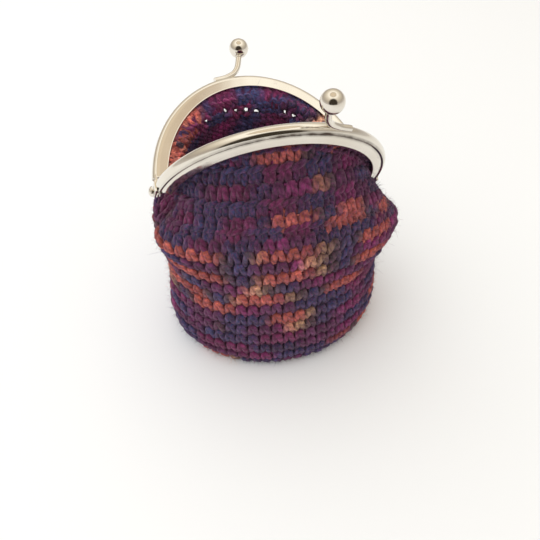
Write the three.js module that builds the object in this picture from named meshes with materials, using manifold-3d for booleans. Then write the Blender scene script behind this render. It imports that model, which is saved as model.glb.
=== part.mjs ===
// A crochet coin purse standing open on its base: a hollow crochet bag whose upper edge sits in
// the channels of a hinged metal snap frame with two ball knobs.
// Millimetres, +Z up, front towards -Y, right towards +X, origin at the centre of the underside.
import * as THREE from "three";
import Module from "manifold-3d";
import { LoftGeometry } from "three/addons/geometries/LoftGeometry.js";
import { mergeVertices } from "three/addons/utils/BufferGeometryUtils.js";

const wasm = await Module();
wasm.setup();

const DEGREE = Math.PI / 180;
const { lerp, smoothstep, degToRad, euclideanModulo } = THREE.MathUtils;

// Snap frame: two sheet metal channels bent to arches and hinged at their ends.
const FRAME_WIDTH = 85;
const FRAME_RISE = 46;
const CHANNEL_THICKNESS = 4.6;
const CHANNEL_DEPTH = 5.4;
const SHEET = 0.6;
const CHANNEL_START = 4.4;
const ARCH_STEPS = 40;
const ARC_SEGMENTS = 4;
const HALF_WIDTH = FRAME_WIDTH / 2;
const WELD = 1e-4;

// How the open frame is carried on the standing bag.
const HINGE = { x: -1.2, y: 2.8, z: 60 };
const FRONT_LEAN = 33.5 * DEGREE;
const REAR_LEAN = 58.2 * DEGREE;
const FRAME_ROLL = 8.7 * DEGREE;

// Hinge ears and rivets. The rear ears lie one layer inside the front ears.
const CLEARANCE = 0.3;
const EAR_THICKNESS = 0.8;
const EAR_RADIUS = 2.1;
const EAR_OVERLAP = 1.2;
const END_WALL = 1;
const RIVET_RADIUS = 0.8;
const RIVET_HEAD_RADIUS = 1.9;
const RIVET_DOME = 1.3;
const RIVET_TAIL = 0.7;
const RIVET_SIDES = 18;
const DOME_STEPS = 5;

// Ball knobs: a bent rod soldered along the spine, rising to a ball near the middle of the arch.
const BALL_DIAMETER = 7.4;
const ROD_RADIUS = 0.95;
const ROD_STEPS = 14;
const BALL_SIDES = 16;
const BALL_RINGS = 12;
const KNOB_ROD = [
  { along: 13.6, above: 0.45, across: 0 },
  { along: 8.2, above: 0.6, across: 0 },
  { along: 4.8, above: 2.4, across: 0.2 },
  { along: 3.1, above: 6.4, across: 0.8 },
  { along: 2.2, above: 11.6, across: 1.5 },
];

// Crochet bag: rounds of the wall from the edge of the flat underside up to the belly.
const ROUNDS = [
  { height: 0, halfWidth: 38.2, halfDepth: 33 },
  { height: 9, halfWidth: 42.6, halfDepth: 35 },
  { height: 32, halfWidth: 41.6, halfDepth: 33.4 },
];
const WALL = 3.2;
const EDGE_WALL = 2.6;
const FLOOR = 3.2;
const RIM_INSET = 1.4;
const LEAF_INSET = 8;
const COLUMNS = 64;
const WALL_STEPS = 20;
const CORNER_SHARE = 0.2;
const NECK_SHARE = 0.78;
const SHOULDER_SHARE = 0.5;
const TENSION = 0.5;
const SLOPE_STEP = 0.02;

// The wall swells out between belly and frame by a different amount on each side.
const SHOULDERS = [
  { angle: 0, push: 7.5 },
  { angle: 90, push: 6 },
  { angle: 180, push: 4.4 },
  { angle: 270, push: 6 },
];

// Sags and creases of the soft wall: where round the bag, how high, how far out and how wide.
const FOLDS = [
  { angle: 352, height: 43, push: 4, spread: 34, tall: 8 },
  { angle: 344, height: 31, push: -1.6, spread: 30, tall: 4 },
  { angle: 22, height: 53, push: 3.2, spread: 24, tall: 7 },
  { angle: 188, height: 55.5, push: 4.3, spread: 34, tall: 8.5 },
];

// Below each hinge the edge of the bag leaves the channels and dips in a short side slit.
const SLIT_SHARE = 0.28;
const SLIT_INSET = 9.2;
const SLIT_DROP = 5;
const SLIT_BEND = 7;
const SLIT_SLOPE = 0.3;

const nickel = new THREE.MeshStandardMaterial({ color: 0xd9d4c9, roughness: 0.2, metalness: 1 });
const yarn = new THREE.MeshStandardMaterial({ color: 0x5a2a3c, roughness: 0.95, metalness: 0 });

const purse = new THREE.Group();
purse.name = "crochet_coin_purse";
const hinge = new THREE.Group();
hinge.name = "hinge";
hinge.position.set(HINGE.x, HINGE.y, HINGE.z);
hinge.rotation.y = FRAME_ROLL;
const frontLip = new THREE.Group();
frontLip.name = "front_lip";
frontLip.rotation.x = FRONT_LEAN;
const rearLip = new THREE.Group();
rearLip.name = "rear_lip";
rearLip.rotation.x = -REAR_LEAN;
hinge.add(frontLip, rearLip);
purse.add(hinge);
purse.updateMatrixWorld(true);

function solidOf(geometry) {
  geometry.deleteAttribute("normal");
  geometry.deleteAttribute("uv");
  const welded = mergeVertices(geometry, WELD);
  return new wasm.Manifold(new wasm.Mesh({
    numProp: 3,
    vertProperties: new Float32Array(welded.attributes.position.array),
    triVerts: new Uint32Array(welded.index.array),
  }));
}

function geometryOf(solid) {
  const mesh = solid.getMesh();
  const geometry = new THREE.BufferGeometry();
  geometry.setAttribute("position", new THREE.BufferAttribute(mesh.vertProperties, 3));
  geometry.setIndex(new THREE.BufferAttribute(mesh.triVerts, 1));
  geometry.computeVertexNormals();
  return geometry;
}

function piece(name, geometry, material) {
  const mesh = new THREE.Mesh(geometry, material);
  mesh.name = name;
  return mesh;
}

// The top line of a frame half: half an ellipse standing on the hinge axis.
class ArchCurve extends THREE.Curve {
  constructor(from, to) {
    super();
    this.from = from;
    this.to = to;
  }

  getPoint(t, target = new THREE.Vector3()) {
    const angle = lerp(this.from, this.to, t);
    return target.set(-HALF_WIDTH * Math.cos(angle), 0, FRAME_RISE * Math.sin(angle));
  }
}

const archAngle = (arm) => Math.asin(arm / FRAME_RISE);
const spineHeight = (along) => FRAME_RISE * Math.sqrt(1 - (along / HALF_WIDTH) ** 2);

// Channel section: half-round spine and two leaves, drawn across the arch and inwards.
function channelSection() {
  const outer = CHANNEL_THICKNESS / 2;
  const inner = outer - SHEET;
  const shape = new THREE.Shape();
  shape.moveTo(outer, CHANNEL_DEPTH);
  shape.lineTo(outer, outer);
  shape.absarc(0, outer, outer, 0, -Math.PI, true);
  shape.lineTo(-outer, CHANNEL_DEPTH);
  shape.lineTo(-inner, CHANNEL_DEPTH);
  shape.lineTo(-inner, outer);
  shape.absarc(0, outer, inner, -Math.PI, 0, false);
  shape.lineTo(inner, CHANNEL_DEPTH);
  shape.closePath();
  return shape;
}

// Outline that fills the channel at its ends, half a sheet smaller than the outside.
function endSection() {
  const outer = CHANNEL_THICKNESS / 2;
  const half = outer - SHEET / 2;
  const shape = new THREE.Shape();
  shape.moveTo(half, CHANNEL_DEPTH - SHEET / 2);
  shape.lineTo(half, outer);
  shape.absarc(0, outer, half, 0, -Math.PI, true);
  shape.lineTo(-half, CHANNEL_DEPTH - SHEET / 2);
  shape.closePath();
  return shape;
}

function alongArch(section, from, to, steps) {
  return solidOf(new THREE.ExtrudeGeometry(section, {
    steps,
    curveSegments: ARC_SEGMENTS,
    bevelEnabled: false,
    extrudePath: new ArchCurve(from, to),
  }));
}

// A flat ear with a rounded end round the hinge axis and a clear hole for the rivet.
function hingeEar(right, layer) {
  const shape = new THREE.Shape();
  shape.moveTo(EAR_RADIUS, CHANNEL_START + EAR_OVERLAP);
  shape.lineTo(-EAR_RADIUS, CHANNEL_START + EAR_OVERLAP);
  shape.lineTo(-EAR_RADIUS, 0);
  shape.absarc(0, 0, EAR_RADIUS, Math.PI, 2 * Math.PI, false);
  shape.closePath();
  const hole = new THREE.Path();
  hole.absarc(0, 0, RIVET_RADIUS + CLEARANCE, 0, 2 * Math.PI, true);
  shape.holes.push(hole);
  const ear = new THREE.ExtrudeGeometry(shape, {
    depth: EAR_THICKNESS,
    curveSegments: ARC_SEGMENTS,
    bevelEnabled: false,
  });
  ear.applyMatrix4(new THREE.Matrix4().makeBasis(
    new THREE.Vector3(0, 1, 0),
    new THREE.Vector3(0, 0, 1),
    new THREE.Vector3(1, 0, 0),
  ));
  const outside = HALF_WIDTH - layer * (EAR_THICKNESS + CLEARANCE);
  ear.translate(right ? outside - EAR_THICKNESS : -outside, 0, 0);
  return solidOf(ear);
}

function knobRod() {
  const path = new THREE.CatmullRomCurve3(KNOB_ROD.map(({ along, above, across }) => (
    new THREE.Vector3(along, across, spineHeight(along) + above)
  )));
  const section = new THREE.Shape();
  section.absarc(0, 0, ROD_RADIUS, 0, 2 * Math.PI, false);
  return solidOf(new THREE.ExtrudeGeometry(section, {
    steps: ROD_STEPS,
    curveSegments: ARC_SEGMENTS,
    bevelEnabled: false,
    extrudePath: path,
  }));
}

function knobBall() {
  const top = KNOB_ROD[KNOB_ROD.length - 1];
  const ball = new THREE.SphereGeometry(BALL_DIAMETER / 2, BALL_SIDES, BALL_RINGS);
  ball.rotateX(Math.PI / 2);
  ball.translate(top.along, top.across, spineHeight(top.along) + top.above);
  return solidOf(ball);
}

// One half of the frame in its own plane: channel, closed ends, ears and soldered knob.
function frameHalf(layer) {
  const start = archAngle(CHANNEL_START);
  const inside = archAngle(CHANNEL_START + SHEET / 2);
  const wallEnd = archAngle(CHANNEL_START + END_WALL);
  let half = alongArch(channelSection(), start, Math.PI - start, ARCH_STEPS);
  half = half.add(alongArch(endSection(), inside, wallEnd, 1));
  half = half.add(alongArch(endSection(), Math.PI - wallEnd, Math.PI - inside, 1));
  half = half.add(hingeEar(true, layer)).add(hingeEar(false, layer));
  return geometryOf(half.add(knobRod()).add(knobBall()));
}

// A rivet along X: domed head outside the ears, shank through both, flat tail inside.
function rivet(side) {
  const shankEnd = HALF_WIDTH + CLEARANCE;
  const tailFace = HALF_WIDTH - 2 * EAR_THICKNESS - 2 * CLEARANCE;
  const profile = [
    new THREE.Vector2(0, tailFace - RIVET_TAIL),
    new THREE.Vector2(RIVET_HEAD_RADIUS, tailFace - RIVET_TAIL),
    new THREE.Vector2(RIVET_HEAD_RADIUS, tailFace),
    new THREE.Vector2(RIVET_RADIUS, tailFace),
    new THREE.Vector2(RIVET_RADIUS, shankEnd),
  ];
  for (let i = 0; i <= DOME_STEPS; i += 1) {
    const angle = (i / DOME_STEPS) * Math.PI / 2;
    const radius = i === DOME_STEPS ? 0 : RIVET_HEAD_RADIUS * Math.cos(angle);
    profile.push(new THREE.Vector2(radius, shankEnd + RIVET_DOME * Math.sin(angle)));
  }
  const geometry = new THREE.LatheGeometry(profile, RIVET_SIDES);
  geometry.rotateZ(-side * Math.PI / 2);
  return geometry;
}

// Amount of shoulder at an angle, eased from one side of the bag to the next.
function shoulderPush(angle) {
  const turn = euclideanModulo(angle / (Math.PI / 2), SHOULDERS.length);
  const index = Math.floor(turn);
  const next = SHOULDERS[(index + 1) % SHOULDERS.length];
  return lerp(SHOULDERS[index].push, next.push, smoothstep(turn - index, 0, 1));
}

// Middle of the cloth near the frame at a depth below the spine, and its outward direction.
// Near the hinge it bends from the channel, past the closed end, to the bottom of the slit.
function mouthAt(angle, inset) {
  const sine = Math.sin(angle);
  const side = Math.cos(angle) < 0 ? -1 : 1;
  const lip = sine < 0 ? frontLip : rearLip;
  const share = Math.max(Math.abs(sine), SLIT_SHARE);
  const along = side * (HALF_WIDTH - SLIT_INSET - SLIT_SLOPE * (inset - RIM_INSET));
  const drop = SLIT_DROP + SLIT_SLOPE * (inset - RIM_INSET);
  const held = new THREE.Vector3(
    side * (HALF_WIDTH - inset) * Math.sqrt(1 - share * share),
    0,
    (FRAME_RISE - inset) * share,
  );
  const edge = new THREE.QuadraticBezierCurve3(
    hinge.localToWorld(new THREE.Vector3(along, 0, -drop)),
    lip.localToWorld(new THREE.Vector3(along, 0, SLIT_BEND)),
    lip.localToWorld(held),
  );
  const rise = Math.min(Math.abs(sine) / SLIT_SHARE, 1);
  const across = new THREE.Vector3(0, sine < 0 ? -1 : 1, 0).transformDirection(lip.matrixWorld);
  const out = new THREE.Vector3(side, 0, 0).lerp(across, smoothstep(rise, 0, 1)).normalize();
  return { point: edge.getPoint(rise), out };
}

// Outer face of one upright line of the wall, from the underside to the frame.
function wallColumn(angle) {
  const toward = new THREE.Vector3(Math.cos(angle), Math.sin(angle), 0);
  const points = ROUNDS.map(({ height, halfWidth, halfDepth }) => (
    new THREE.Vector3(halfWidth * toward.x, halfDepth * toward.y, height)
  ));
  const { point, out } = mouthAt(angle, LEAF_INSET);
  const leaf = point.addScaledVector(out, EDGE_WALL / 2);
  const shoulder = points[points.length - 1].clone().lerp(leaf, SHOULDER_SHARE);
  shoulder.addScaledVector(toward, shoulderPush(angle));
  return new THREE.CatmullRomCurve3([...points, shoulder, leaf], false, "catmullrom", TENSION);
}

function foldPush(angle, height) {
  return FOLDS.reduce((sum, fold) => {
    const turn = angle - degToRad(fold.angle);
    const around = Math.atan2(Math.sin(turn), Math.cos(turn)) / degToRad(fold.spread);
    const upright = (height - fold.height) / fold.tall;
    return sum + fold.push * Math.exp(-around * around - upright * upright);
  }, 0);
}

function outerPoint(angle, share) {
  const point = wallColumn(angle).getPoint(share);
  const soft = smoothstep(share, 0, CORNER_SHARE) * (1 - smoothstep(share, NECK_SHARE, 1));
  const push = soft * foldPush(angle, point.z);
  return point.add(new THREE.Vector3(push * Math.cos(angle), push * Math.sin(angle), 0));
}

// Inner face: the outer point moved in by the thickness of the cloth.
function innerPoint(angle, share) {
  const low = Math.max(share - SLOPE_STEP, 0);
  const high = Math.min(share + SLOPE_STEP, 1);
  const outer = outerPoint(angle, share);
  const up = outerPoint(angle, high).sub(outerPoint(angle, low));
  const around = outerPoint(angle + SLOPE_STEP, share).sub(outerPoint(angle - SLOPE_STEP, share));
  const out = around.cross(up).normalize();
  out.lerpVectors(new THREE.Vector3(0, 0, -1), out, smoothstep(share, 0, CORNER_SHARE));
  out.lerp(mouthAt(angle, LEAF_INSET).out, smoothstep(share, NECK_SHARE, 1)).normalize();
  return outer.addScaledVector(out, -lerp(WALL, EDGE_WALL, share));
}

function ring(pointAt) {
  return Array.from({ length: COLUMNS }, (_, i) => pointAt(-(i / COLUMNS) * 2 * Math.PI));
}

function rimPoint(angle, side) {
  const { point, out } = mouthAt(angle, RIM_INSET);
  return point.addScaledVector(out, side * EDGE_WALL / 2);
}

// Closed skin of the bag: inner floor, up the inside, over the rim, down the outside, underside.
function crochetBag() {
  const shares = Array.from({ length: WALL_STEPS + 1 }, (_, i) => i / WALL_STEPS);
  const floorCentre = ring(() => new THREE.Vector3(0, 0, FLOOR));
  const inside = shares.map((share) => ring((angle) => innerPoint(angle, share)));
  const rim = [-1, 1].map((side) => ring((angle) => rimPoint(angle, side)));
  const outside = shares.map((share) => ring((angle) => outerPoint(angle, share)));
  const sections = [floorCentre, ...inside, ...rim, ...outside.reverse()];
  return new LoftGeometry(sections, { capEnd: true });
}

const crochet = piece("crochet_bag", crochetBag(), yarn);
const frontFrame = piece("front_frame", frameHalf(0), nickel);
const rearFrame = piece("rear_frame", frameHalf(1), nickel);
rearFrame.rotation.z = Math.PI;
frontLip.add(frontFrame);
rearLip.add(rearFrame);
hinge.add(piece("left_rivet", rivet(-1), nickel), piece("right_rivet", rivet(1), nickel));
purse.add(crochet);

export default purse;
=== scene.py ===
"""An open crochet coin purse in a nickel snap frame, dressed over its solids. Sizes are in
millimetres until a mesh is made."""

import bpy
import numpy as np
from mathutils import Matrix, Vector, kdtree


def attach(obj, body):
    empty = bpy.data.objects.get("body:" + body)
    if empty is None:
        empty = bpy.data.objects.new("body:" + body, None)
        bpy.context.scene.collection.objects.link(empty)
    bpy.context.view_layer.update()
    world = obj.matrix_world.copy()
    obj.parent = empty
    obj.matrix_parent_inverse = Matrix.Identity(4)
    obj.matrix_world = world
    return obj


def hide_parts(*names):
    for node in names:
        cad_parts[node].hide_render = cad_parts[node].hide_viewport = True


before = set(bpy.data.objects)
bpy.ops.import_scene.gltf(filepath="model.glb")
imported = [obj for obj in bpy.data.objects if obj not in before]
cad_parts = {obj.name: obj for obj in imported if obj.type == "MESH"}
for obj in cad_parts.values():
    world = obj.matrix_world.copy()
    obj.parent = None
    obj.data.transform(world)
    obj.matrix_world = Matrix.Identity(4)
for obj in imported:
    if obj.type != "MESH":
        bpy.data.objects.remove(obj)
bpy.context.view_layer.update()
bpy.ops.object.select_all(action="DESELECT")


# The cloth of the bag: one piece of single crochet in thick wool, worked outwards from the middle
# of an oval base, up a round wall and on in two flaps that the frame holds. All its strands are
# laid by the angle round the bag and the distance up the cloth.
MM = 0.001
HINGE = np.array([-1.2, 2.8, 60.0])
HALF_WIDTH, RISE = 42.5, 46.0
FRONT_LEAN, REAR_LEAN, ROLL = np.radians((33.5, 58.2, 8.7))
BASE_RADIUS = 35.6
# Rounds of the wall: height, half width and half depth.
ROUNDS = ((0, 38.2, 33), (9, 42.6, 35), (32, 41.6, 33.4))
# Swell of the shoulders at the right, the back, the left and the front.
SHOULDERS = np.array((7.5, 6, 4.4, 6))
# Folds: angle, height, push outwards, half spread in degrees and half height. They fade out towards
# the base and the frame.
FOLDS = ((352, 43, 4, 34, 8), (344, 31, -1.6, 30, 4), (20, 55, 2.8, 26, 8), (8, 61, 5.0, 24, 4.5),
         (188, 54, 4.8, 34, 7.5))
FOLDS_FROM, FOLDS_TO = 0.2, 0.78
LEAF_INSET, RIM_INSET, EDGE_WALL, WALL = 8.0, 1.4, 2.6, 3.2
SLIT_SHARE, SLIT_INSET, SLIT_DROP, SLIT_BEND, SLIT_SLOPE = 0.28, 9.2, 5.0, 7.0, 0.3
CHANNEL_RUN, TOP_SHARE = 90.0, 1.06
TURNS, SHARE_STEPS, UP_STEP = 720, 320, 0.5
TURN_REACH, UP_REACH, FLAT_BELOW = 0.02, 1.2, -3


def ease(value, low, high):
    """0 up to low, 1 from high on, and a smooth rise between them."""
    t = np.clip((value - low) / (high - low), 0, 1)
    return t * t * (3 - 2 * t)


def unit(vectors):
    """The directions of some vectors."""
    return vectors / np.maximum(np.linalg.norm(vectors, axis=-1, keepdims=True), 1e-9)


def rolled(p):
    """Points rolled to the right with the frame."""
    c, s = np.cos(ROLL), np.sin(ROLL)
    return np.stack((p[..., 0] * c + p[..., 2] * s, p[..., 1], p[..., 2] * c - p[..., 0] * s), -1)


def leaned(p, lean):
    """Points leaned to the front about the hinge."""
    c, s = np.cos(lean), np.sin(lean)
    return np.stack((p[..., 0], p[..., 1] * c - p[..., 2] * s, p[..., 1] * s + p[..., 2] * c), -1)


def mouth(angle, inset):
    """Middle of the cloth's edge at a depth below the frame's spine, and the way out from it."""
    sine, zero = np.sin(angle), np.zeros_like(angle)
    side = np.where(np.cos(angle) < 0, -1.0, 1.0)
    lean = np.where(sine < 0, FRONT_LEAN, -REAR_LEAN)
    share = np.maximum(np.abs(sine), SLIT_SHARE)
    along = side * (HALF_WIDTH - SLIT_INSET - SLIT_SLOPE * (inset - RIM_INSET))
    drop = SLIT_DROP + SLIT_SLOPE * (inset - RIM_INSET) + zero
    reach = side * (HALF_WIDTH - inset) * np.sqrt(1 - share ** 2)
    held = np.stack((reach, zero, (RISE - inset) * share), -1)
    foot = rolled(np.stack((along, zero, -drop), -1))
    bend = rolled(leaned(np.stack((along, zero, zero + SLIT_BEND), -1), lean))
    top = rolled(leaned(held, lean))
    rise = np.minimum(np.abs(sine) / SLIT_SHARE, 1)[..., None]
    point = HINGE + foot * (1 - rise) ** 2 + 2 * bend * rise * (1 - rise) + top * rise ** 2
    across = rolled(leaned(np.stack((zero, np.where(sine < 0, -1.0, 1.0), zero), -1), lean))
    flank = np.stack((side, zero, zero), -1)
    return point, unit(flank + (across - flank) * ease(rise, 0, 1))


def wall(angle, share):
    """Outer face of the wall: share 0 at the base's edge, 1 at the frame, more inside its channel."""
    toward = np.stack((np.cos(angle), np.sin(angle), np.zeros_like(angle)), -1)
    hem, out = mouth(angle, LEAF_INSET)
    leaf = hem + out * EDGE_WALL / 2
    quarter = np.mod(angle / (np.pi / 2), 4)
    corner = np.floor(quarter).astype(int) % 4
    swell = SHOULDERS[corner] + (np.roll(SHOULDERS, -1) - SHOULDERS)[corner] * ease(quarter % 1, 0, 1)
    knots = [toward * (wide, deep, 0) + (0, 0, height) for height, wide, deep in ROUNDS]
    knots += [(knots[-1] + leaf) / 2 + toward * swell[:, None], leaf]
    knots = np.array([2 * knots[0] - knots[1], *knots, 2 * knots[-1] - knots[-2]])
    spans = len(ROUNDS) + 1
    run = np.clip(share, 0, 1) * spans
    span = np.minimum(run.astype(int), spans - 1)
    t = (run - span)[:, None]
    each = np.arange(len(angle))
    a, b, c, d = (knots[span + k, each] for k in range(4))
    p = b + 0.5 * t * (c - a + t * (2 * a - 5 * b + 4 * c - d + t * (3 * b - a - 3 * c + d)))
    push = np.zeros_like(angle)
    for where, height, out_by, spread, tall in FOLDS:
        turn = angle - np.radians(where)
        around = np.arctan2(np.sin(turn), np.cos(turn)) / np.radians(spread)
        push = push + out_by * np.exp(-around ** 2 - ((p[:, 2] - height) / tall) ** 2)
    push = push * ease(share, 0, FOLDS_FROM) * (1 - ease(share, FOLDS_TO, 1))
    p = p + toward * push[:, None]
    return p + mouth(angle, LEAF_INSET - np.maximum(share - 1, 0) * CHANNEL_RUN)[0] - hem


turns = np.linspace(0, 2 * np.pi, TURNS + 1)
shares = np.linspace(0, TOP_SHARE, SHARE_STEPS)
columns = wall(np.repeat(turns, len(shares)), np.tile(shares, len(turns))).reshape(len(turns), -1, 3)
lengths = np.linalg.norm(np.diff(columns, axis=1), axis=-1).cumsum(1)
lengths = np.hstack((np.zeros((len(turns), 1)), lengths))
ups = np.arange(0, lengths.max() + 2, UP_STEP)
share_chart = np.array([np.interp(ups, length, shares) for length in lengths])
edge_chart = np.array([np.interp(1.0, shares, length) for length in lengths])


def frame_edge(angle):
    """Distance up the cloth at which it reaches the frame."""
    return np.interp(np.mod(angle, 2 * np.pi), turns, edge_chart)


def cloth_point(angle, up):
    """Outer face by the angle round the bag and the distance up from the base's edge."""
    turn = np.mod(angle, 2 * np.pi) / (2 * np.pi) * TURNS
    i = np.minimum(turn.astype(int), TURNS - 1)
    step = np.clip(up / UP_STEP, 0, len(ups) - 1.001)
    j = step.astype(int)
    f, g = turn - i, step - j
    share = ((share_chart[i, j] * (1 - g) + share_chart[i, j + 1] * g) * (1 - f)
             + (share_chart[i + 1, j] * (1 - g) + share_chart[i + 1, j + 1] * g) * f)
    p = wall(angle, share)
    return np.where((up < 0)[:, None], p * np.maximum(1 + up / BASE_RADIUS, 0.01)[:, None], p)


def cloth(angle, up):
    """Points of the outer face and the outward direction there."""
    shape = np.shape(angle)
    a, u = np.ravel(angle), np.ravel(up)
    around = cloth_point(a + TURN_REACH, u) - cloth_point(a - TURN_REACH, u)
    upward = cloth_point(a, u + UP_REACH) - cloth_point(a, u - UP_REACH)
    out = unit(np.cross(around, upward))
    out[u < FLAT_BELOW] = (0, 0, -1)
    return cloth_point(a, u).reshape(*shape, 3), out.reshape(*shape, 3)


# Yarn dyes, and the length of each in stitches as the yarn runs: two rounds of the wall, two rows of
# a flap, a row of a flap without the light dyes, and the edging.
DYES = {
    "navy": "323c62", "ink": "2b3457", "plum": "582e50", "burgundy": "6d2b51", "magenta": "7f2f61",
    "orange": "b65d4d", "rust": "964a48", "peach": "d08d72", "tan": "ba9471", "olive": "504646",
    "coral": "cc6a5c",
}
ROUND_DYES = (
    ("orange", 7.4), ("olive", 0.8), ("navy", 1.2), ("olive", 0.5), ("peach", 0.5), ("orange", 3.0),
    ("rust", 1.0), ("tan", 0.8), ("olive", 1.0), ("navy", 1.1), ("olive", 0.5), ("orange", 4.0),
    ("magenta", 2.0), ("plum", 3.0), ("navy", 5.0), ("burgundy", 4.0), ("plum", 4.0), ("navy", 4.0),
    ("orange", 3.2), ("tan", 0.6), ("olive", 0.6), ("navy", 3.6), ("plum", 2.2),
    ("navy", 4.0), ("plum", 3.0), ("olive", 0.7), ("navy", 1.6), ("plum", 2.6), ("magenta", 0.9),
    ("peach", 0.9), ("tan", 0.8), ("olive", 1.2), ("navy", 1.2), ("plum", 1.2), ("magenta", 1.6),
    ("burgundy", 1.6), ("plum", 3.0), ("navy", 5.0), ("burgundy", 5.0), ("ink", 4.0), ("plum", 4.0),
    ("magenta", 3.0), ("navy", 5.0), ("rust", 2.5), ("olive", 1.2),
)
FLAP_DYES = (
    ("burgundy", 2.2), ("navy", 2.4), ("burgundy", 2.4), ("ink", 1.1), ("coral", 3.2), ("olive", 0.9),
    ("navy", 1.2), ("coral", 2.4), ("olive", 0.7), ("magenta", 2.0), ("plum", 2.0),
    ("navy", 2.6), ("plum", 1.2), ("burgundy", 2.8), ("navy", 1.2), ("plum", 1.2), ("magenta", 2.2),
    ("peach", 0.9), ("olive", 0.8), ("plum", 2.4), ("navy", 3.0),
)
PLAIN_DYES = (
    ("navy", 3.2), ("burgundy", 1.9), ("plum", 1.1), ("navy", 2.1), ("plum", 0.8), ("magenta", 1.6),
    ("plum", 2.0), ("ink", 2.4),
)
EDGE_DYES = (
    ("navy", 9), ("ink", 4), ("plum", 14), ("magenta", 5), ("burgundy", 4), ("navy", 10), ("plum", 18),
)
BLEED = 0.4


def linear(code):
    """A six-figure colour code as linear red, green and blue."""
    value = np.array([int(code[k:k + 2], 16) for k in (0, 2, 4)]) / 255
    return np.where(value <= 0.04045, value / 12.92, ((value + 0.055) / 1.055) ** 2.4)


def dyed(count, runs):
    """Colour of the yarn after a count of stitches, with a short bleed between two dyes."""
    ends = np.cumsum([length for _, length in runs])
    colours = np.array([linear(DYES[name]) for name, _ in runs])
    middles = ends - np.array([length for _, length in runs]) / 2
    low = np.maximum(middles, ends - BLEED)
    begin = np.minimum(middles, np.concatenate(((0,), ends[:-1])) + BLEED)
    stops = np.concatenate((begin[:, None], low[:, None]), 1).ravel()
    stops = np.concatenate(((stops[-1] - ends[-1],), stops, (stops[0] + ends[-1],)))
    values = np.repeat(colours, 2, axis=0)
    values = np.concatenate((values[-1:], values, values[:1]))
    place = np.mod(count, ends[-1])
    return np.stack([np.interp(place, stops, values[:, k]) for k in range(3)], -1)


class Shade:
    """One value of a material: sums on it add Math nodes, and node() adds any other node."""

    def __init__(self, tree, socket=None):
        self.tree, self.socket = tree, socket

    def node(self, kind, settings=None, values=None, out=0):
        node = self.tree.nodes.new(kind)
        for name, value in (settings or {}).items():
            if name == "stops":
                while len(node.color_ramp.elements) < len(value):
                    node.color_ramp.elements.new(0.5)
                for stop, (place, colour) in zip(node.color_ramp.elements, value):
                    stop.position, stop.color = place, (*colour, 1)
            else:
                setattr(node, name, value)
        for name, value in (values or {}).items():
            socket = next((s for s in node.inputs if s.identifier == name), None) or node.inputs[name]
            if isinstance(value, Shade):
                self.tree.links.new(value.socket, socket)
            else:
                socket.default_value = value
        named = next((s for s in node.outputs if s.identifier == out), None)
        return Shade(self.tree, named or node.outputs[out])

    def sums(self, operation, a, b=0.0):
        return self.node("ShaderNodeMath", {"operation": operation}, {"Value": a, "Value_001": b})

    def into(self, socket):
        self.tree.links.new(self.socket, socket)

    def __add__(self, other):
        return self.sums("ADD", self, other)

    def __radd__(self, other):
        return self.sums("ADD", other, self)

    def __sub__(self, other):
        return self.sums("SUBTRACT", self, other)

    def __rsub__(self, other):
        return self.sums("SUBTRACT", other, self)

    def __mul__(self, other):
        return self.sums("MULTIPLY", self, other)

    def __rmul__(self, other):
        return self.sums("MULTIPLY", other, self)

    def sine(self):
        return self.sums("SINE", self)


def new_material(name):
    """A material, its shader, and the wrapper that adds its nodes."""
    material = bpy.data.materials.new(name)
    material.use_nodes = True
    return material, material.node_tree.nodes["Principled BSDF"], Shade(material.node_tree)


# Wool: turns of the plies along 10 mm of a strand and around it, the scale of its clouds, carded specks
# and fibres, and how far plies, fibres and clouds change its tone and lift its face. The plies darken
# its tone in the grooves between them as painted shade.
PLIES_ALONG, PLIES_AROUND = 3.8, 2.0
CLOUD_SCALE, SPECK_SCALE, FIBRES_ALONG, FIBRES_AROUND, FIBRES_SHIFT = 420.0, 1500.0, 9.0, 15.0, 30.0
PLY_SHADE_LOW, PLY_SHADE_GAIN, FIBRE_LOW, FIBRE_GAIN, CLOUD_LOW, CLOUD_GAIN = 0.6, 0.62, 0.3, 2.6, 0.2, 1.6
SPECK_LOW, SPECK_GAIN, CARDED = 0.6, 1.6, (*linear("74355e"), 1)
PLY_RISE, FIBRE_RISE, WOOL_BUMP = 0.7, 1.0, 0.5


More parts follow.
